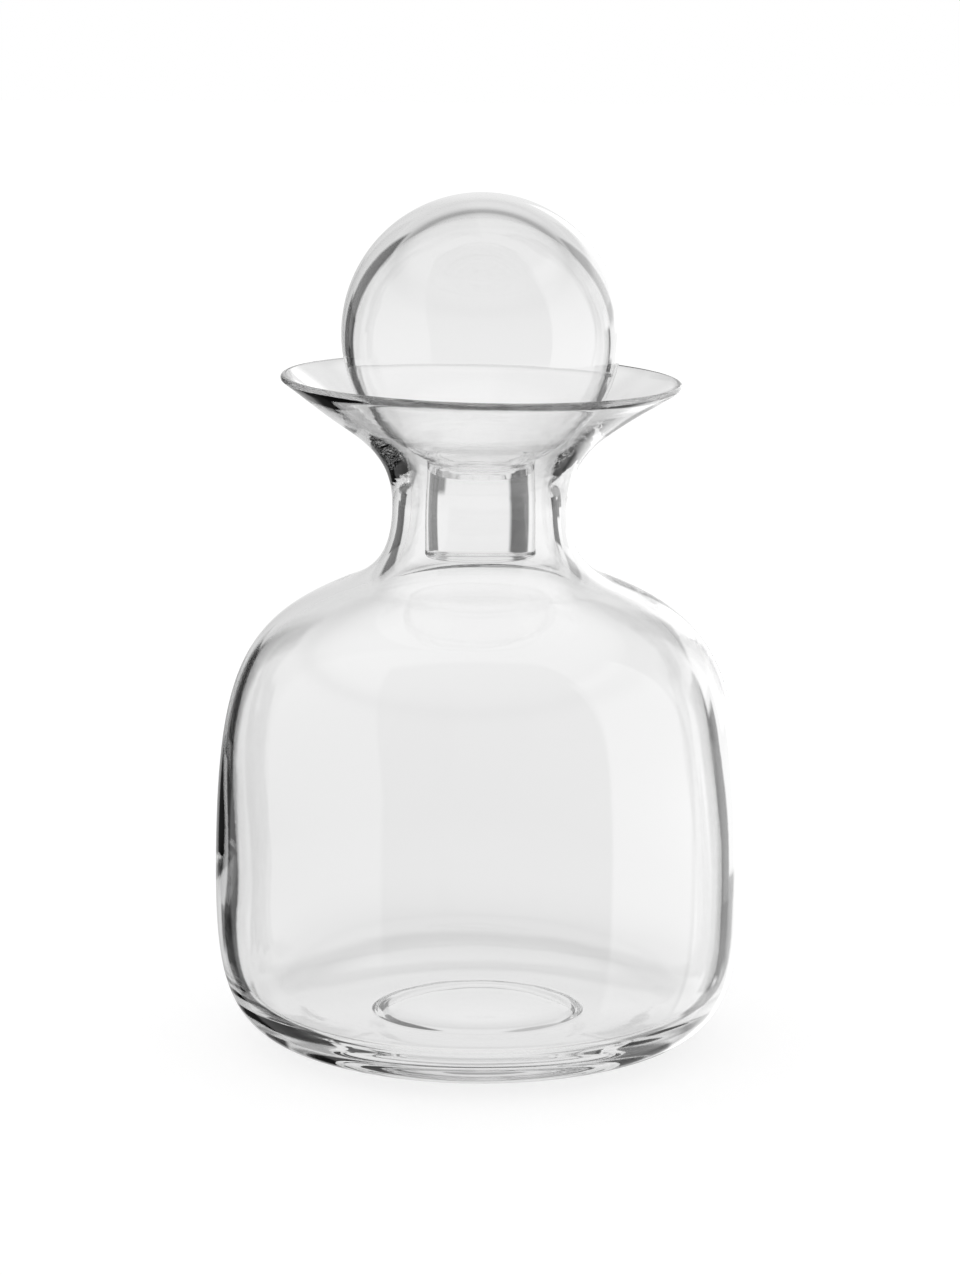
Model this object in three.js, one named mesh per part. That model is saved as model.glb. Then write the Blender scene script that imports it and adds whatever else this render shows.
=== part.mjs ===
// Glass carafe with a ball stopper: a blown vessel with a round body, a waisted neck and a funnel lip,
// closed by a hollow glass ball on a short solid stem. The ball sits in the funnel, and the stem hangs
// in the neck with room all round. Millimetres, +Z up, origin at the middle of the base.
import * as THREE from "three";

// Vessel, outside
const BODY_RADIUS = 65;
const BELLY_HEIGHT = 40; // height of the widest part
const SHOULDER_RISE = 75; // from the widest part up to the root of the neck
const FOOT_RADIUS = 34; // outer edge of the flat ring that it stands on
const FOOT_WIDTH = 9;
const PUNT_DEPTH = 2.5; // shallow hollow inside the foot ring
const NECK_RADIUS = 21.6; // at the waist
const NECK_ROOT_FLARE = 10.7; // how much wider the neck is where it leaves the shoulder
const NECK_RISE = 18.3; // from the root up to the waist
const LIP_RADIUS = 48.7;
const LIP_RISE = 30.6; // from the waist up to the middle of the rim
const LIP_CONE_LENGTH = 19; // straight outer stretch of the funnel
const LIP_SLOPE = THREE.MathUtils.degToRad(34.6);
const SHOULDER_SLOPE = THREE.MathUtils.degToRad(21.7); // at the root of the neck

// Vessel, inside
const BASE_THICKNESS = 9;
const FLOOR_RADIUS = 44; // where the floor turns up into the wall
const FLOOR_CROWN = 1.2; // how far the floor swells up in the middle
const BELLY_WALL = 4.8;
const SHOULDER_WALL = 3.6;
const NECK_WALL = 4.5;
const FUNNEL_WALL = 2.6; // where the funnel becomes a straight cone, just above the ball's seat
const LIP_WALL = 1.6;

// Stopper
const BALL_RADIUS = 34;
const BALL_WALL = 3.2; // at the equator
const CAVITY_DROP = 2; // the hollow lies low, so the crown is thicker than the sides
const COLLAR_LENGTH = 1.5; // straight collar under the ball, below its fillet
const COLLAR_WALL = 2.1;
const COLLAR_FILLET = 1.5;
const STEM_LENGTH = 20.9;
const STEM_EDGE = 1; // rounded lower edge

// Fits
const SEAT_CLEARANCE = 0.3; // between the ball and the funnel that it rests in
const STEM_CLEARANCE = 3.6; // between the stem and the neck's bore

// Fullness of the curves at their two ends: the share of its run along each end's direction that the
// curve holds to that direction
const PUNT_FULLNESS = [0.75, 0.5];
const HEEL_FULLNESS = [0.82, 0.77];
const SHOULDER_FULLNESS = [0.72, 0.48];
const NECK_FULLNESS = [0.47, 0.58];
const FLARE_FULLNESS = [0.42, 0.51];
const THROAT_FULLNESS = [0.77, 0.45];
const FLOOR_FULLNESS = [0.5, 0.33];
const INSIDE_HEEL_FULLNESS = [0.9, 0.78];

// Facets
const SIDES = 60;
const LONG_CURVE_STEPS = 9;
const SHORT_CURVE_STEPS = 5;
const EDGE_STEPS = 4;
const HALF_BALL_STEPS = 6;

const RIGHT = new THREE.Vector2(1, 0);
const UP = new THREE.Vector2(0, 1);
const DOWN = new THREE.Vector2(0, -1);

function glass(color) {
  const finish = { roughness: 0.04, metalness: 0, transparent: true, opacity: 0.35 };
  return new THREE.MeshStandardMaterial({ color, ...finish });
}

// A point at the given distance from another, along a direction.
function along(point, direction, distance) {
  return point.clone().addScaledVector(direction, distance);
}

// The unit direction that turns a tangent a quarter left: from the outer skin into the glass.
function inward(tangent) {
  return new THREE.Vector2(-tangent.y, tangent.x);
}

// A smooth curve that leaves one point and reaches another in given directions.
function sweep(start, startDirection, end, endDirection, fullness) {
  const run = end.clone().sub(start);
  const leave = along(start, startDirection, fullness[0] * run.dot(startDirection));
  const arrive = along(end, endDirection, -fullness[1] * run.dot(endDirection));
  return new THREE.CubicBezierCurve(start, leave, arrive, end);
}

// Points on the inner skin, which follows an outer curve at a wall that changes evenly along it.
function innerSkin(curve, startWall, endWall, steps) {
  return Array.from({ length: steps + 1 }, (_, i) => {
    const t = i / steps;
    const wall = THREE.MathUtils.lerp(startWall, endWall, t);
    return along(curve.getPoint(t), inward(curve.getTangent(t)), wall);
  });
}

// One list of points without the doubles where curves join.
function joined(...runs) {
  const points = runs.flat();
  return points.filter((point, i) => i === 0 || point.distanceTo(points[i - 1]) > 1e-6);
}

// A solid of revolution about +Z from a closed profile of radius and height.
function revolve(name, profile, material) {
  const geometry = new THREE.LatheGeometry(profile, SIDES).rotateX(Math.PI / 2);
  const mesh = new THREE.Mesh(geometry, material);
  mesh.name = name;
  return mesh;
}

// Stations of the vessel's outline
const puntTop = new THREE.Vector2(0, PUNT_DEPTH);
const footInside = new THREE.Vector2(FOOT_RADIUS - FOOT_WIDTH, 0);
const foot = new THREE.Vector2(FOOT_RADIUS, 0);
const belly = new THREE.Vector2(BODY_RADIUS, BELLY_HEIGHT);
const root = new THREE.Vector2(NECK_RADIUS + NECK_ROOT_FLARE, BELLY_HEIGHT + SHOULDER_RISE);
const waist = new THREE.Vector2(NECK_RADIUS, root.y + NECK_RISE);
const rim = new THREE.Vector2(LIP_RADIUS - LIP_WALL / 2, waist.y + LIP_RISE);
const intoNeck = new THREE.Vector2(-Math.cos(SHOULDER_SLOPE), Math.sin(SHOULDER_SLOPE));
const coneDirection = new THREE.Vector2(Math.cos(LIP_SLOPE), Math.sin(LIP_SLOPE));
const coneEnd = along(rim, inward(coneDirection), -LIP_WALL / 2);
const coneStart = along(coneEnd, coneDirection, -LIP_CONE_LENGTH);
const floorEdge = new THREE.Vector2(FLOOR_RADIUS, BASE_THICKNESS);
const floorTop = new THREE.Vector2(0, BASE_THICKNESS + FLOOR_CROWN);
const bellyInside = new THREE.Vector2(BODY_RADIUS - BELLY_WALL, BELLY_HEIGHT);

// Curves of the outline, from the middle of the underside, round the lip, to the middle of the floor
const punt = sweep(puntTop, RIGHT, footInside, DOWN, PUNT_FULLNESS);
const heel = sweep(foot, RIGHT, belly, UP, HEEL_FULLNESS);
const shoulder = sweep(belly, UP, root, intoNeck, SHOULDER_FULLNESS);
const neck = sweep(root, intoNeck, waist, UP, NECK_FULLNESS);
const flare = sweep(waist, UP, coneStart, coneDirection, FLARE_FULLNESS);
const cone = new THREE.LineCurve(coneStart, coneEnd);
const rimStart = LIP_SLOPE - Math.PI / 2;
const rimRound = new THREE.ArcCurve(rim.x, rim.y, LIP_WALL / 2, rimStart, rimStart + Math.PI, false);
const insideHeel = sweep(floorEdge, RIGHT, bellyInside, UP, INSIDE_HEEL_FULLNESS);
const floor = sweep(floorTop, RIGHT, floorEdge, RIGHT, FLOOR_FULLNESS);

// The wall is thick at the belly and the throat, thinner over the shoulder, and thinnest at the rim.
const coneInside = innerSkin(cone, FUNNEL_WALL, LIP_WALL, 1);
const neckInside = innerSkin(neck, SHOULDER_WALL, NECK_WALL, SHORT_CURVE_STEPS);
const shoulderInside = innerSkin(shoulder, BELLY_WALL, SHOULDER_WALL, LONG_CURVE_STEPS);

// The bore stays straight for longer than the outside before it opens into the funnel.
const intoFunnel = coneInside[1].clone().sub(coneInside[0]).normalize();
const throat = sweep(neckInside.at(-1), UP, coneInside[0], intoFunnel, THROAT_FULLNESS);
const funnelInside = throat.getPoints(LONG_CURVE_STEPS);

const vesselProfile = joined(
  punt.getPoints(SHORT_CURVE_STEPS),
  heel.getPoints(LONG_CURVE_STEPS),
  shoulder.getPoints(LONG_CURVE_STEPS),
  neck.getPoints(SHORT_CURVE_STEPS),
  flare.getPoints(SHORT_CURVE_STEPS),
  rimRound.getPoints(EDGE_STEPS),
  coneInside.toReversed(),
  funnelInside.toReversed(),
  neckInside.toReversed(),
  shoulderInside.toReversed(),
  insideHeel.getPoints(LONG_CURVE_STEPS).toReversed(),
  floor.getPoints(EDGE_STEPS).toReversed(),
);

// The ball comes down the funnel until it is the seat clearance away from the nearest ring of its wall.
function restingHeight(rings, reach) {
  const touching = rings.filter((ring) => ring.x < reach);
  return Math.max(...touching.map((ring) => ring.y + Math.sqrt(reach * reach - ring.x * ring.x)));
}
const ballHeight = restingHeight([...funnelInside, ...coneInside], BALL_RADIUS + SEAT_CLEARANCE);

// The stopper is laid out from the ball's middle, so heights below it are negative.
const stemRadius = NECK_RADIUS - NECK_WALL - STEM_CLEARANCE;
const openingRadius = stemRadius - COLLAR_WALL;
const cavityRadius = BALL_RADIUS - BALL_WALL;

// The collar's fillet is a round that touches the ball and the straight collar.
const filletX = stemRadius + COLLAR_FILLET;
const filletY = -Math.sqrt((BALL_RADIUS + COLLAR_FILLET) ** 2 - filletX ** 2);
const filletEnd = Math.atan2(-filletY, -filletX);
const fillet = new THREE.ArcCurve(filletX, filletY, COLLAR_FILLET, Math.PI, filletEnd, true);
const collarFoot = filletY - COLLAR_LENGTH;

// The ball's skin and its hollow are each drawn as two arcs that meet at the equator.
function roundArc(height, radius, start, end) {
  return new THREE.ArcCurve(0, height, radius, start, end, end < start).getPoints(HALF_BALL_STEPS);
}
const crown = Math.PI / 2;
const skinBottom = Math.atan2(filletY, filletX);
const hollowBottom = -Math.acos(openingRadius / cavityRadius);

const ballProfile = joined(
  [new THREE.Vector2(openingRadius, collarFoot), new THREE.Vector2(stemRadius, collarFoot)],
  fillet.getPoints(EDGE_STEPS),
  roundArc(0, BALL_RADIUS, skinBottom, 0),
  roundArc(0, BALL_RADIUS, 0, crown),
  roundArc(-CAVITY_DROP, cavityRadius, crown, 0),
  roundArc(-CAVITY_DROP, cavityRadius, 0, hollowBottom),
  [new THREE.Vector2(openingRadius, collarFoot)],
);

// The stem's flat top closes the ball's opening, and its lower edge is rounded.
const stemFoot = collarFoot - STEM_LENGTH;
const edgeX = stemRadius - STEM_EDGE;
const stemEdge = new THREE.ArcCurve(edgeX, stemFoot + STEM_EDGE, STEM_EDGE, -Math.PI / 2, 0, false);
const stemProfile = joined(
  [new THREE.Vector2(0, stemFoot)],
  stemEdge.getPoints(EDGE_STEPS),
  [new THREE.Vector2(stemRadius, collarFoot), new THREE.Vector2(0, collarFoot)],
);

const stopper = new THREE.Group();
stopper.position.z = ballHeight;
stopper.add(
  revolve("stopper_ball", ballProfile, glass(0xf2f4f4)),
  revolve("stopper_stem", stemProfile, glass(0xeef1f1)),
);

const carafe = new THREE.Group();
carafe.add(revolve("carafe_vessel", vesselProfile, glass(0xf4f6f6)), stopper);

export default carafe;
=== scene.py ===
"""Glass carafe with a ball stopper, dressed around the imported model.

The vessel and the stopper are revolved from outlines of radius and height by one Geometry Nodes tree,
which also leaves in them what hand work leaves in blown glass: a cavity a little off centre, a lip that
isn't quite level, and slow waves. Metres, +Z up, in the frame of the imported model.
"""
import math

import bpy
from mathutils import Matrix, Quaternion, Vector


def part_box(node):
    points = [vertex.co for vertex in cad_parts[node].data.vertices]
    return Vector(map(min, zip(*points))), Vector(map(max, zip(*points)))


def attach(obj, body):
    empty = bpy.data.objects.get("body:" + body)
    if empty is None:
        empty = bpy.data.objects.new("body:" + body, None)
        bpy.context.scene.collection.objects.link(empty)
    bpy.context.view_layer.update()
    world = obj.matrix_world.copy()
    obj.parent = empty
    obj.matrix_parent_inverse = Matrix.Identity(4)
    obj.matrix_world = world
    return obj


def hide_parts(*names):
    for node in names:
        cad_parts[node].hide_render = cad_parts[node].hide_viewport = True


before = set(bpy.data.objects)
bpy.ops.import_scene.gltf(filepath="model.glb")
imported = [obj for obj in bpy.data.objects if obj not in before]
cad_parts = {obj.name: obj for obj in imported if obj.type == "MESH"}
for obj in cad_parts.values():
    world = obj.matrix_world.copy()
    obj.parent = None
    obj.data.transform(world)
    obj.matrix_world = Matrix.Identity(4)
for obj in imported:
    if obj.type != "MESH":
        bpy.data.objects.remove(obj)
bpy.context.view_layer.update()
_, vessel_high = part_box("carafe_vessel")
_, ball_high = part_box("stopper_ball")
stem_low, stem_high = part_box("stopper_stem")

# Vessel, outside. A pair is a radius and a height.
BODY_RADIUS = vessel_high.x
BELLY_HEIGHT = 0.040  # height of the widest part
ROOT = Vector((0.0323, 0.115))  # where the neck leaves the shoulder
WAIST = Vector((0.0216, 0.1333))  # the narrowest part of the neck
FOOT_RADIUS = 0.034  # outer edge of the flat ring that it stands on
FOOT_WIDTH = 0.009
FOOT_EDGE = 0.002  # round at the ring's inner edge
FOOT_BEVEL = math.radians(45)  # how steeply the punt comes down to that round
PUNT_DEPTH = 0.0025  # shallow hollow inside the foot ring
LIP_RADIUS = 0.0487
LIP_RISE = 0.0306  # from the waist up to the middle of the rim
LIP_CONE_LENGTH = 0.019  # straight outer stretch of the funnel
LIP_SLOPE = math.radians(34.6)
SHOULDER_SLOPE = math.radians(21.7)  # at the root of the neck

# Vessel, inside
BASE_THICKNESS = 0.009
FLOOR_RADIUS = 0.044  # where the floor turns up into the wall
FLOOR_CROWN = 0.0012  # how far the floor swells up in the middle
BELLY_WALL = 0.0048
SHOULDER_WALL = 0.0036
NECK_WALL = 0.0045
FUNNEL_WALL = 0.0020
LIP_WALL = 0.0016

# Stopper
BALL_RADIUS = ball_high.x
BALL_HEIGHT = ball_high.z - BALL_RADIUS
BALL_WALL = 0.0032  # at the equator
HOLLOW_DROP = 0.002  # the hollow lies low, so the crown is thicker than the sides
STEM_RADIUS = stem_high.x
STEM_FOOT = stem_low.z
STEM_TOP = stem_high.z
STEM_EDGE = 0.001
COLLAR_WALL = 0.0021
COLLAR_FILLET = 0.0015

# Share of its run that a curve holds to the direction at each of its ends
PUNT_FULLNESS = (0.75, 0.15)
HEEL_FULLNESS = (0.82, 0.77)
SHOULDER_FULLNESS = (0.72, 0.48)
NECK_FULLNESS = (0.47, 0.58)
FLARE_FULLNESS = (0.42, 0.51)
STRAIGHT = (1 / 3, 1 / 3)
THROAT_FULLNESS = (0.5, 0.4)
FLOOR_FULLNESS = (0.5, 0.33)
INSIDE_HEEL_FULLNESS = (0.9, 0.78)

# Hand work. A pair of heights is where a trait starts to come or go, and where it has done so.
HOLLOW_SHIFT = (-0.0014, 0.0, 0.0)  # from the axis to the middle of the cavity
SHIFT_COMES = (0.036, 0.078)
SHIFT_GOES = (0.095, 0.125)
LIP_TILT = -0.02  # rise of the lip for its length along +X
TILT_COMES = (0.154, 0.164)
WAVE_HEIGHT = 0.0001
WAVE_LENGTH = 0.03
WAVES_COME = (0.001, 0.006)
WAVES_GO = (0.158, 0.164)
STILL_RIM = 0.005  # stretch above the stem where the ball's hollow has no waves

# Facets: sides round the axis, and steps along the curves of the outlines
SIDES = 256
BALL_STEPS = 72
LONG_STEPS = 36
PUNT_STEPS = 24
THROAT_STEPS = 24
FLOOR_STEPS = 20
NECK_STEPS = 18
FLARE_STEPS = 16
RIM_STEPS = 10
CONE_STEPS = 8
STEM_EDGE_STEPS = 8
SMALL_ROUND_STEPS = 6
FLAT_RING = 0.6  # share of a flat end's radius where it has one more ring

# Glass
GLASS_TINT = (0.9, 0.9, 0.9)
GLASS_DENSITY = 10.0
GLASS_IOR = 1.5
VESSEL_RIPPLE = 0.00004
STOPPER_RIPPLE = 0.00001
RIPPLES_TO_A_METRE = (45, 45, 210)
RIPPLES_GROW = (0.137, 0.150)  # heights between which the ripples grow to their full depth
CALM_SHARE = 0.25  # share of that depth below them
SMUDGES_TO_A_METRE = 38.0
SMUDGE_EDGE = (0.58, 0.75)  # strengths of the pattern between which a smudge appears
SMUDGE_ROUGHNESS = 0.012
GROUND_ROUGHNESS = 0.08
GROUND_EDGE = 0.0003
GROUND_HEIGHTS = (0.0001, 0.0004)  # heights over which the ground finish ends

# Surroundings, by degrees of turn (0 straight behind the vessel, positive to its right) and of rise
FLOOR_LIGHT = 0.9
# Tones of the surroundings by rise. Below eye level they stand in for the table seen through the glass, and
# their dip from about 24 to 17 degrees down is a painted shade of the vessel on it.
WALL_AND_SHADE_TONES = (
    (-88, 0.84), (-24, 0.79), (-17, 0.80), (-11, 0.88), (-7, 0.93), (-3, 0.88), (2, 0.84),
    (12, 0.82), (20, 0.79), (26, 0.75), (30, 0.62), (34, 0.36), (37, 0.32), (40, 0.55),
    (46, 0.78), (56, 0.9), (88, 0.9),
)
CARDS_AND_PAINTED_SHADE = (
    # left, right, soft edge, low, high, soft edge, depth
    (-39.5, -19, 2, -10, 6.8, 0.8, 0.96),
    (-41, -37, 2, -10, 6.8, 0.8, 0.85),
    (-41, -19, 2, -14, -9, 0.6, 0.92),
    (-42, -25, 2, -24.8, -13, 0.6, 0.93),
    (-25, -15, 2, -23, -20.5, 0.8, 0.60),
    (-40, -23, 2.5, 5.2, 30, 1.5, 0.88),
    (-38, -14, 2.5, -34, -23, 1.2, 0.90),
    (-40, -11, 2.5, -48, -32.5, 2, 0.95),
    (40, 53, 1.5, -24, 5, 1, 0.95),
    (33, 42, 1.2, -19, -4.5, 1, 0.92),
    (25, 35, 2, -22, -15, 1, 0.92),
    (25, 35, 2, -16, -10.5, 0.8, 0.85),
    (24, 46, 2, -36, -21, 2, 0.75),
    (24, 38, 2, 5, 30, 1.5, 0.50),
    (48, 62, 3, 5, 22, 3, 0.50),
    (8, 34, 3, -50, -36, 3, 0.45),
    # painted shade of the vessel on the table behind it, seen through the glass
    (-12, 12, 6, -33, -25, 2.5, 0.13),
)

# Straight through a hollow, light crosses four surfaces. Cards that start no lower than this rise are
# faint there, so that the glass stays clear from every side.
HOLLOW_CROSSINGS = 4
FAINT_CARD_FOOT = -25
FAINT_CARD_LOSS = 0.85

# What mirrors in the glass
SOFT_BOXES = (
    # left, right, low, high, tone
    (-137, -70, -32, 50, 0.1),
    (75, 121, -32, 50, 0.9),
    (10, 72, -32, 20, 1.2),
)
SOFT_BOX_SIDE = 1.5
SOFT_BOX_END = 4
LEFT_SHADE = (-68, -8)
LEFT_SHADE_EDGE = 6
LEFT_SHADE_DEPTH = 0.45
DARK_ROOM_SIDES = (
    # way in from a side, lean of that side above eye level, soft edge
    ((1.0, -0.9, 0.0), 0.45, 0.03),
    ((-1.0, -1.68, 0.0), 0.15, 0.04),
    ((0.0, -1.0, -0.13), 0.0, 0.05),
)
DARK_ROOM_FOOT = (-21, -15)
DARK_ROOM_DEPTH = 0.92

# Floor and camera
FLOOR_REACH = 4.0
FLOOR_GREY = 0.3
FLOOR_GLOW = 0.78
CAMERA_PLACE = (0, -1.0, 0.28825)
CAMERA_AIM = (0, 0, 0.1006)
CAMERA_ROLL = math.radians(0.33)
FILM_WIDTH = 36
FOCAL_LENGTH = 117.17
FAR_LIMIT = 20
LIGHT_BOUNCES = 32

RIGHT = Vector((1, 0))
UP = Vector((0, 1))


class Sweep:
    """A smooth curve that leaves one point and reaches another in given directions."""

    def __init__(self, start, leaving, end, arriving, fullness):
        run = end - start
        first = start + leaving * (fullness[0] * run.dot(leaving))
        second = end - arriving * (fullness[1] * run.dot(arriving))
        self.knots = (start, first, second, end)

    def point(self, t):
        a, b, c, d = self.knots
        s = 1 - t
        return a * s**3 + b * (3 * s * s * t) + c * (3 * s * t * t) + d * t**3

    def tangent(self, t):
        a, b, c, d = self.knots
        s = 1 - t
        return ((b - a) * (s * s) + (c - b) * (2 * s * t) + (d - c) * (t * t)).normalized()

    def points(self, steps):
        return [self.point(i / steps) for i in range(steps + 1)]

    def inner_skin(self, start_wall, end_wall, steps):
        """Points at a wall's depth inside the curve, where the wall changes evenly along it."""
        skin = []
        for i in range(steps + 1):
            t = i / steps
            along = self.tangent(t)
            wall = start_wall + (end_wall - start_wall) * t
            skin.append(self.point(t) + Vector((-along.y, along.x)) * wall)
        return skin


def arc(centre, radius, start, end, steps):
    """Points on a round, between two angles."""
    turn = [start + (end - start) * i / steps for i in range(steps + 1)]
    return [centre + Vector((math.cos(a), math.sin(a))) * radius for a in turn]


def joined(*runs):
    """One list of points, without the doubles where runs meet."""
    points = []
    for point in (p for run in runs for p in run):
        if not points or (point - points[-1]).length > 1e-7:
            points.append(point)
    return points


def ramp(value, low, high):
    """A soft step from 0 at low to 1 at high."""
    t = max(0.0, min(1.0, (value - low) / (high - low)))
    return t * t * (3 - 2 * t)


def between(height, comes, goes):
    """1 between the heights where a trait has come and starts to go, 0 beyond, with soft steps."""
    return ramp(height, *comes) * (1 - ramp(height, *goes))


def vessel_outline():
    """The vessel from the middle of its underside, round the lip, to the middle of its floor."""
    into_foot = Vector((math.cos(FOOT_BEVEL), -math.sin(FOOT_BEVEL)))
    foot_inside = Vector((FOOT_RADIUS - FOOT_WIDTH, FOOT_EDGE * (1 - into_foot.x)))
    foot = Vector((FOOT_RADIUS, 0))
    belly = Vector((BODY_RADIUS, BELLY_HEIGHT))
    rim = Vector((LIP_RADIUS - LIP_WALL / 2, WAIST.y + LIP_RISE))
    into_neck = Vector((-math.cos(SHOULDER_SLOPE), math.sin(SHOULDER_SLOPE)))
    up_cone = Vector((math.cos(LIP_SLOPE), math.sin(LIP_SLOPE)))
    cone_end = rim + Vector((up_cone.y, -up_cone.x)) * (LIP_WALL / 2)
    cone_start = cone_end - up_cone * LIP_CONE_LENGTH
    floor_edge = Vector((FLOOR_RADIUS, BASE_THICKNESS))
    floor_top = Vector((0, BASE_THICKNESS + FLOOR_CROWN))
    belly_inside = Vector((BODY_RADIUS - BELLY_WALL, BELLY_HEIGHT))

    punt = Sweep(Vector((0, PUNT_DEPTH)), RIGHT, foot_inside, into_foot, PUNT_FULLNESS)
    heel = Sweep(foot, RIGHT, belly, UP, HEEL_FULLNESS)
    shoulder = Sweep(belly, UP, ROOT, into_neck, SHOULDER_FULLNESS)
    neck = Sweep(ROOT, into_neck, WAIST, UP, NECK_FULLNESS)
    flare = Sweep(WAIST, UP, cone_start, up_cone, FLARE_FULLNESS)
    cone = Sweep(cone_start, up_cone, cone_end, up_cone, STRAIGHT)
    cone_inside = cone.inner_skin(FUNNEL_WALL, LIP_WALL, CONE_STEPS)
    into_funnel = (cone_inside[-1] - cone_inside[0]).normalized()
    throat_start = WAIST - RIGHT * NECK_WALL
    throat = Sweep(throat_start, UP, cone_inside[0], into_funnel, THROAT_FULLNESS)
    inside_heel = Sweep(floor_edge, RIGHT, belly_inside, UP, INSIDE_HEEL_FULLNESS)
    floor = Sweep(floor_top, RIGHT, floor_edge, RIGHT, FLOOR_FULLNESS)

    foot_corner = Vector((foot_inside.x - FOOT_EDGE * into_foot.y, FOOT_EDGE))
    corner_end = math.pi * 1.5
    rim_start = LIP_SLOPE - math.pi / 2
    outside = joined(
        punt.points(PUNT_STEPS),
        arc(foot_corner, FOOT_EDGE, corner_end - FOOT_BEVEL, corner_end, SMALL_ROUND_STEPS),
        [Vector((FOOT_RADIUS - FOOT_WIDTH / 2, 0))],
        heel.points(LONG_STEPS),
        shoulder.points(LONG_STEPS),
        neck.points(NECK_STEPS),
        flare.points(FLARE_STEPS),
        cone.points(CONE_STEPS),
        arc(rim, LIP_WALL / 2, rim_start, rim_start + math.pi, RIM_STEPS),
    )
    inside = joined(
        cone_inside[::-1],
        throat.points(THROAT_STEPS)[::-1],
        neck.inner_skin(SHOULDER_WALL, NECK_WALL, NECK_STEPS)[::-1],
        shoulder.inner_skin(BELLY_WALL, SHOULDER_WALL, LONG_STEPS)[::-1],
        inside_heel.points(LONG_STEPS)[::-1],
        floor.points(FLOOR_STEPS)[::-1],
    )
    points = joined(outside, inside)
    hollow = [0.0] * len(outside) + [1.0] * (len(points) - len(outside))
    return [
        {
            "place": p,
            "hollow": inner * between(p.y, SHIFT_COMES, SHIFT_GOES),
            "lip": ramp(p.y, *TILT_COMES),
            "wave": between(p.y, WAVES_COME, WAVES_GO),
        }
        for p, inner in zip(points, hollow)
    ]


def stopper_skin():
    """The stopper's outside, from the middle of the stem's end to the top of the ball."""
    ball = Vector((0, BALL_HEIGHT))
    edge = Vector((STEM_RADIUS - STEM_EDGE, STEM_FOOT + STEM_EDGE))
    fillet_x = STEM_RADIUS + COLLAR_FILLET
    fillet_drop = math.sqrt((BALL_RADIUS + COLLAR_FILLET) ** 2 - fillet_x**2)
    fillet = Vector((fillet_x, BALL_HEIGHT - fillet_drop))
    fillet_end = math.atan2(fillet_drop, -fillet_x)
    ball_start = math.atan2(-fillet_drop, fillet_x)
    points = joined(
        [Vector((0, STEM_FOOT)), Vector((edge.x * FLAT_RING, STEM_FOOT))],
        arc(edge, STEM_EDGE, -math.pi / 2, 0, STEM_EDGE_STEPS),
        [Vector((STEM_RADIUS, (STEM_FOOT + STEM_TOP) / 2))],
        arc(fillet, COLLAR_FILLET, math.pi, fillet_end, SMALL_ROUND_STEPS),
        arc(ball, BALL_RADIUS, ball_start, math.pi / 2, BALL_STEPS),
    )
    return [{"place": p, "wave": ramp(p.y, STEM_TOP, BALL_HEIGHT)} for p in points]


def stopper_hollow():
    """The sealed hollow in the ball, from its top down to the stem that closes it."""
    centre = Vector((0, BALL_HEIGHT - HOLLOW_DROP))
    radius = BALL_RADIUS - BALL_WALL
    opening = STEM_RADIUS - COLLAR_WALL
    bottom = -math.acos(opening / radius)
    points = joined(
        arc(centre, radius, math.pi / 2, bottom, BALL_STEPS),
        [Vector((opening, STEM_TOP)), Vector((opening * FLAT_RING, STEM_TOP)), Vector((0, STEM_TOP))],
    )
    return [{"place": p, "wave": ramp(p.y, STEM_TOP + STILL_RIM, BALL_HEIGHT)} for p in points]


class Tree:
    """Adds nodes to a node tree and links them by plain calls."""

    def __init__(self, tree):
        self.tree = tree

    def node(self, kind, inputs=None, **settings):
        made = self.tree.nodes.new(kind)
        for name, value in settings.items():
            setattr(made, name, value)
        for name, value in (inputs or {}).items():
            socket = made.inputs[name]
            if isinstance(value, bpy.types.NodeSocket):
                self.tree.links.new(value, socket)
            else:
                socket.default_value = value
        return made

    def math(self, operation, *values):
        made = self.node("ShaderNodeMath", dict(enumerate(values)), operation=operation)
        return made.outputs[0]

    def vector(self, operation, *values):
        made = self.node("ShaderNodeVectorMath", dict(enumerate(values)), operation=operation)
        return made.outputs["Value" if operation in ("LENGTH", "DOT_PRODUCT") else "Vector"]

    def scaled(self, vector, scale):
        inputs = {"Vector": vector, "Scale": scale}
        return self.node("ShaderNodeVectorMath", inputs, operation="SCALE").outputs["Vector"]

    def smooth(self, value, low, high, start=0.0, end=1.0):
        """A soft step of a value from start at low to end at high."""
        inputs = {"Value": value, "From Min": low, "From Max": high, "To Min": start, "To Max": end}
        return self.node("ShaderNodeMapRange", inputs, interpolation_type="SMOOTHSTEP").outputs[0]

    def band(self, value, low, high, soft):
        """1 between low and high, 0 outside, with soft edges."""
        rise = self.smooth(value, low - soft, low + soft)
        fall = self.smooth(value, high - soft, high + soft, 1.0, 0.0)
        return self.math("MULTIPLY", rise, fall)

    def is_count(self, value, count):
        """1 where a whole number is the given one, otherwise 0."""
        return self.math("COMPARE", value, count, 0.5)

    def dimmed(self, light, mask, depth):
        """Light that loses a share, the depth, where the mask is 1."""
        return self.math("MULTIPLY", light, self.math("MULTIPLY_ADD", mask, -depth, 1.0))


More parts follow.
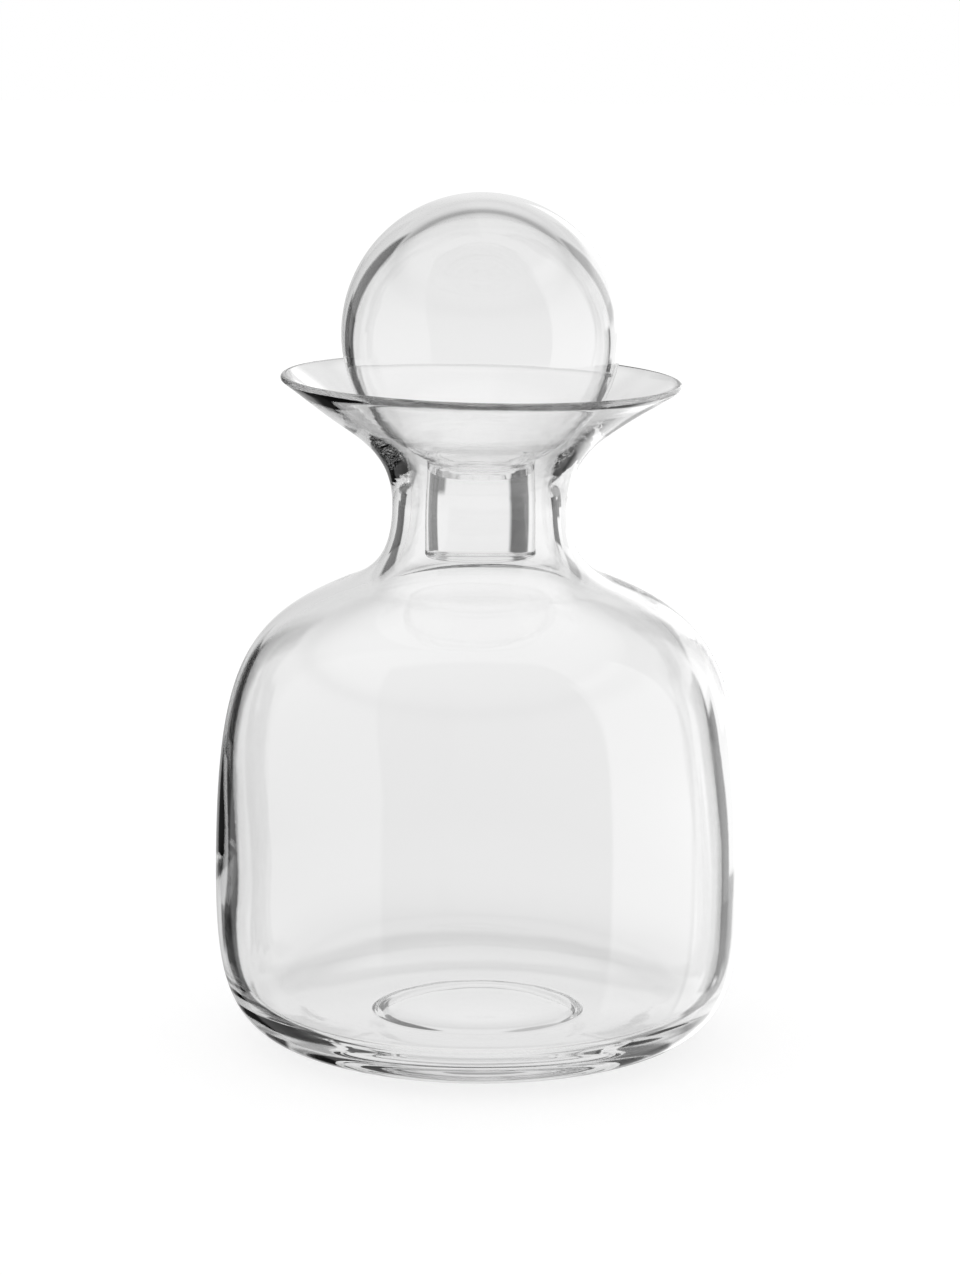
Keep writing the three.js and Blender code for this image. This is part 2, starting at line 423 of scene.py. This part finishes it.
def blowing_tree():
    """The tree that turns an outline of radius and height round +Z into a closed skin of glass."""
    group = bpy.data.node_groups.new("blown_glass_of_revolution", "GeometryNodeTree")
    sockets = group.interface
    sockets.new_socket("Outline", in_out="INPUT", socket_type="NodeSocketGeometry")
    for name, kind in (
        ("Sides", "NodeSocketInt"),
        ("Hollow Shift", "NodeSocketVector"),
        ("Lip Tilt", "NodeSocketFloat"),
        ("Wave Height", "NodeSocketFloat"),
        ("Wave Length", "NodeSocketFloat"),
        ("Glass", "NodeSocketMaterial"),
    ):
        sockets.new_socket(name, in_out="INPUT", socket_type=kind)
    sockets.new_socket("Skin", in_out="OUTPUT", socket_type="NodeSocketGeometry")

    t = Tree(group)
    given = t.node("NodeGroupInput").outputs
    outline = given["Outline"]
    count = t.node("GeometryNodeAttributeDomainSize", {"Geometry": outline}).outputs["Point Count"]
    columns = t.math("ADD", given["Sides"], 1)
    grid = t.node("GeometryNodeMeshGrid", {"Vertices X": columns, "Vertices Y": count})
    index = t.node("GeometryNodeInputIndex").outputs[0]
    row = t.math("MODULO", index, count)
    column = t.math("FLOOR", t.math("DIVIDE", t.math("ADD", index, 0.5), count))

    def on_outline(value, kind):
        inputs = {"Geometry": outline, "Value": value, "Index": row}
        return t.node("GeometryNodeSampleIndex", inputs, data_type=kind).outputs[0]

    def weight(name):
        named = t.node("GeometryNodeInputNamedAttribute", {"Name": name}, data_type="FLOAT")
        return on_outline(named.outputs["Attribute"], "FLOAT")

    place = on_outline(t.node("GeometryNodeInputPosition").outputs[0], "FLOAT_VECTOR")
    angle = t.math("MULTIPLY", t.math("DIVIDE", column, given["Sides"]), math.tau)
    turning_inputs = {"Vector": place, "Angle": angle}
    turned = t.node("ShaderNodeVectorRotate", turning_inputs, rotation_type="Z_AXIS").outputs[0]

    shift = t.scaled(given["Hollow Shift"], weight("hollow"))
    across = t.node("ShaderNodeSeparateXYZ", {"Vector": turned}).outputs["X"]
    climb = t.math("MULTIPLY", t.math("MULTIPLY", across, given["Lip Tilt"]), weight("lip"))
    tilt = t.node("ShaderNodeCombineXYZ", {"Z": climb}).outputs[0]
    waves_to_a_metre = t.math("DIVIDE", 1.0, given["Wave Length"])
    noise = t.node("ShaderNodeTexNoise", {"Vector": turned, "Scale": waves_to_a_metre, "Detail": 1.0})
    swell = t.vector("SUBTRACT", noise.outputs["Color"], (0.5, 0.5, 0.5))
    wave = t.scaled(swell, t.math("MULTIPLY", given["Wave Height"], weight("wave")))

    final = t.vector("ADD", t.vector("ADD", t.vector("ADD", turned, shift), tilt), wave)
    skin = t.node("GeometryNodeSetPosition", {"Geometry": grid.outputs["Mesh"], "Position": final})
    sealed = t.node("GeometryNodeMergeByDistance", {"Geometry": skin.outputs[0], "Distance": 1e-6})
    smooth = t.node("GeometryNodeSetShadeSmooth", {"Geometry": sealed.outputs[0]})
    whole = t.node("GeometryNodeRealizeInstances", {"Geometry": smooth.outputs[0]})
    glazed = t.node("GeometryNodeSetMaterial", {"Geometry": whole.outputs[0], "Material": given["Glass"]})
    t.node("NodeGroupOutput", {"Skin": glazed.outputs[0]})
    return group


def blow(name, outline, tree, sizes):
    """A plain mesh of the outline turned round +Z by the tree."""
    mesh = bpy.data.meshes.new(name + "_outline")
    places = [(p["place"].x, 0.0, p["place"].y) for p in outline]
    mesh.from_pydata(places, [(i, i + 1) for i in range(len(places) - 1)], [])
    for key in ("hollow", "lip", "wave"):
        values = [p.get(key, 0.0) for p in outline]
        mesh.attributes.new(key, "FLOAT", "POINT").data.foreach_set("value", values)
    shape = bpy.data.objects.new(name, mesh)
    bpy.context.scene.collection.objects.link(shape)
    turning = shape.modifiers.new("turning", "NODES")
    turning.node_group = tree
    for item in tree.interface.items_tree:
        if item.in_out == "INPUT" and item.name in sizes:
            turning[item.identifier] = sizes[item.name]
    graph = bpy.context.evaluated_depsgraph_get()
    skin = bpy.data.meshes.new_from_object(shape.evaluated_get(graph))
    skin.name = name
    shape.modifiers.remove(turning)
    shape.data = skin
    return shape


def fused(piece, *others):
    """One object that holds the meshes of several, which are removed."""
    with bpy.context.temp_override(
        active_object=piece, object=piece, selected_editable_objects=[piece, *others]
    ):
        bpy.ops.object.join()
    return piece


def clear_glass(name, ripple, foot=None):
    """Polished clear glass with fine ripples and handling marks, and matt where its foot is ground."""
    material = bpy.data.materials.new(name)
    material.use_nodes = True
    t = Tree(material.node_tree)
    material.node_tree.nodes.clear()
    place = t.node("ShaderNodeTexCoord").outputs["Object"]
    height = t.node("ShaderNodeSeparateXYZ", {"Vector": place}).outputs["Z"]
    drawn = t.vector("MULTIPLY", place, RIPPLES_TO_A_METRE)
    ripples = t.node("ShaderNodeTexNoise", {"Vector": drawn, "Scale": 1.0, "Detail": 2.0})
    swell = t.math("MULTIPLY", ripples.outputs[0], t.smooth(height, *RIPPLES_GROW, CALM_SHARE, 1.0))
    bump = t.node("ShaderNodeBump", {"Height": swell, "Strength": 1.0, "Distance": ripple})
    smudge_inputs = {"Vector": place, "Scale": SMUDGES_TO_A_METRE, "Detail": 3.0}
    smudges = t.node("ShaderNodeTexNoise", smudge_inputs)
    roughness = t.smooth(smudges.outputs[0], *SMUDGE_EDGE, 0.0, SMUDGE_ROUGHNESS)
    if foot:
        across = t.vector("LENGTH", t.vector("MULTIPLY", place, (1, 1, 0)))
        ring = t.band(across, *foot, GROUND_EDGE)
        ground = t.math("MULTIPLY", ring, t.smooth(height, *GROUND_HEIGHTS, 1.0, 0.0))
        roughness = t.math("MULTIPLY_ADD", ground, GROUND_ROUGHNESS, roughness)
    glass = t.node(
        "ShaderNodeBsdfPrincipled",
        {
            "Base Color": (1, 1, 1, 1),
            "Roughness": roughness,
            "IOR": GLASS_IOR,
            "Transmission Weight": 1.0,
            "Normal": bump.outputs[0],
        },
    )
    depth = t.node("ShaderNodeVolumeAbsorption", {"Color": (*GLASS_TINT, 1), "Density": GLASS_DENSITY})
    t.node("ShaderNodeOutputMaterial", {"Surface": glass.outputs[0], "Volume": depth.outputs[0]})
    return material


def walls_and_painted_shade(t, rise):
    """The tone of the surroundings, which changes with their height. Below eye level it stands in for the
    table seen through the glass, with a painted shade of the vessel where it dips.
    """
    height = t.math("DIVIDE", t.math("ADD", rise, 90.0), 180.0)
    wall_and_shade_ramp = t.node("ShaderNodeValToRGB", {"Fac": height})
    steps = wall_and_shade_ramp.color_ramp.elements
    steps[0].position = 0.0
    steps[1].position = 1.0
    for angle, tone in WALL_AND_SHADE_TONES:
        step = steps.new((angle + 90) / 180)
        step.color = (tone, tone, tone, 1)
    steps.remove(steps[0])
    steps.remove(steps[len(steps) - 1])
    return wall_and_shade_ramp.outputs["Color"]


def with_cards_and_painted_shade(t, ray, turn, rise, light):
    """The surroundings with the dark cards that draw the edges of clear glass, and a painted shade of the
    vessel on the table behind it.
    """
    crossed = t.is_count(ray["Transmission Depth"], HOLLOW_CROSSINGS)
    unmirrored = t.is_count(ray["Glossy Depth"], 0)
    straight = t.math("MULTIPLY", crossed, unmirrored)
    for left, right, side_soft, low, high, end_soft, depth in CARDS_AND_PAINTED_SHADE:
        card_or_shade = t.math("MULTIPLY", t.band(turn, left, right, side_soft), t.band(rise, low, high, end_soft))
        if low >= FAINT_CARD_FOOT:
            card_or_shade = t.dimmed(card_or_shade, straight, FAINT_CARD_LOSS)
        light = t.dimmed(light, card_or_shade, depth)
    return light


def with_room(t, facing, turn, rise, light):
    """What the glass mirrors: a dark room in front, shade at the left and bright soft boxes."""
    upward = t.node("ShaderNodeSeparateXYZ", {"Vector": facing}).outputs["Z"]
    above = t.math("MAXIMUM", upward, 0.0)
    dark_room = t.smooth(rise, *DARK_ROOM_FOOT)
    for way_in, lean, soft in DARK_ROOM_SIDES:
        inside = t.math("MULTIPLY_ADD", above, lean, t.vector("DOT_PRODUCT", facing, way_in))
        dark_room = t.math("MULTIPLY", dark_room, t.smooth(inside, -soft, soft))
    light = t.dimmed(light, dark_room, DARK_ROOM_DEPTH)
    light = t.dimmed(light, t.band(turn, *LEFT_SHADE, LEFT_SHADE_EDGE), LEFT_SHADE_DEPTH)
    for left, right, low, high, tone in SOFT_BOXES:
        width = t.band(turn, left, right, SOFT_BOX_SIDE)
        box = t.math("MULTIPLY", width, t.band(rise, low, high, SOFT_BOX_END))
        light = t.math("MULTIPLY_ADD", box, tone, light)
    return light


def studio():
    """Soft surroundings: what the floor is lit by, what shows through the glass, and what mirrors in it."""
    world = bpy.data.worlds.new("studio")
    bpy.context.scene.world = world
    world.use_nodes = True
    t = Tree(world.node_tree)
    world.node_tree.nodes.clear()
    ray = t.node("ShaderNodeLightPath").outputs
    facing = t.node("ShaderNodeTexCoord").outputs["Generated"]
    parts = t.node("ShaderNodeSeparateXYZ", {"Vector": facing}).outputs
    turn = t.math("DEGREES", t.math("ARCTAN2", parts["X"], parts["Y"]))
    rise = t.math("DEGREES", t.math("ARCSINE", parts["Z"]))
    around = with_cards_and_painted_shade(t, ray, turn, rise, walls_and_painted_shade(t, rise))
    mirrored = with_room(t, facing, turn, rise, around)

    level = t.math("MULTIPLY", ray["Is Diffuse Ray"], FLOOR_LIGHT)
    plain = t.math("SUBTRACT", 1.0, ray["Is Diffuse Ray"])
    level = t.math("MULTIPLY_ADD", t.math("MULTIPLY", ray["Is Transmission Ray"], plain), around, level)
    level = t.math("MULTIPLY_ADD", t.math("MULTIPLY", ray["Is Reflection Ray"], plain), mirrored, level)
    level = t.math("ADD", ray["Is Camera Ray"], level)
    light = t.node("ShaderNodeBackground", {"Color": (1, 1, 1, 1), "Strength": level})
    t.node("ShaderNodeOutputWorld", {"Surface": light.outputs[0]})


def floor():
    """A pale floor that keeps a faint shadow and is left out of what the glass shows."""
    mesh = bpy.data.meshes.new("floor")
    size = FLOOR_REACH
    corners = [(-size, -size, 0), (size, -size, 0), (size, size, 0), (-size, size, 0)]
    mesh.from_pydata(corners, [], [(0, 1, 2, 3)])
    ground = bpy.data.objects.new("floor", mesh)
    bpy.context.scene.collection.objects.link(ground)
    ground.visible_glossy = False
    ground.visible_transmission = False
    material = bpy.data.materials.new("pale_floor")
    material.use_nodes = True
    t = Tree(material.node_tree)
    material.node_tree.nodes.clear()
    ray = t.node("ShaderNodeLightPath").outputs
    matt = t.node("ShaderNodeBsdfDiffuse", {"Color": (FLOOR_GREY, FLOOR_GREY, FLOOR_GREY, 1)})
    shown = t.math("MULTIPLY", ray["Is Camera Ray"], FLOOR_GLOW)
    glow = t.node("ShaderNodeEmission", {"Color": (1, 1, 1, 1), "Strength": shown})
    both = t.node("ShaderNodeAddShader", {0: matt.outputs[0], 1: glow.outputs[0]})
    t.node("ShaderNodeOutputMaterial", {"Surface": both.outputs[0]})
    mesh.materials.append(material)


def camera():
    """A long lens a metre away, looking down a little, as in the photograph."""
    lens = bpy.data.cameras.new("camera")
    lens.sensor_width = FILM_WIDTH
    lens.lens = FOCAL_LENGTH
    lens.clip_end = FAR_LIMIT
    eye = bpy.data.objects.new("camera", lens)
    bpy.context.scene.collection.objects.link(eye)
    eye.location = CAMERA_PLACE
    look = Vector(CAMERA_AIM) - eye.location
    eye.rotation_mode = "QUATERNION"
    roll = Quaternion((0, 0, 1), CAMERA_ROLL)
    eye.rotation_quaternion = look.to_track_quat("-Z", "Y") @ roll
    bpy.context.scene.camera = eye


bpy.context.scene.view_settings.view_transform = "Standard"
bpy.context.scene.cycles.max_bounces = LIGHT_BOUNCES
bpy.context.scene.cycles.transmission_bounces = LIGHT_BOUNCES
bpy.context.scene.cycles.glossy_bounces = LIGHT_BOUNCES
camera()
studio()
floor()

foot_ring = (FOOT_RADIUS - FOOT_WIDTH, FOOT_RADIUS)
vessel_glass = clear_glass("vessel_glass", VESSEL_RIPPLE, foot_ring)
stopper_glass = clear_glass("stopper_glass", STOPPER_RIPPLE)
turning = blowing_tree()
shared_sizes = {"Sides": SIDES, "Wave Height": WAVE_HEIGHT, "Wave Length": WAVE_LENGTH}
vessel_sizes = {
    **shared_sizes,
    "Hollow Shift": HOLLOW_SHIFT,
    "Lip Tilt": LIP_TILT,
    "Glass": vessel_glass,
}
stopper_sizes = {**shared_sizes, "Glass": stopper_glass}

vessel = blow("blown_vessel", vessel_outline(), turning, vessel_sizes)
stopper = fused(
    blow("ball_stopper", stopper_skin(), turning, stopper_sizes),
    blow("ball_hollow", stopper_hollow(), turning, stopper_sizes),
)

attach(vessel, "carafe")
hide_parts("carafe_vessel")
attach(stopper, "stopper")
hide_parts("stopper_ball", "stopper_stem")
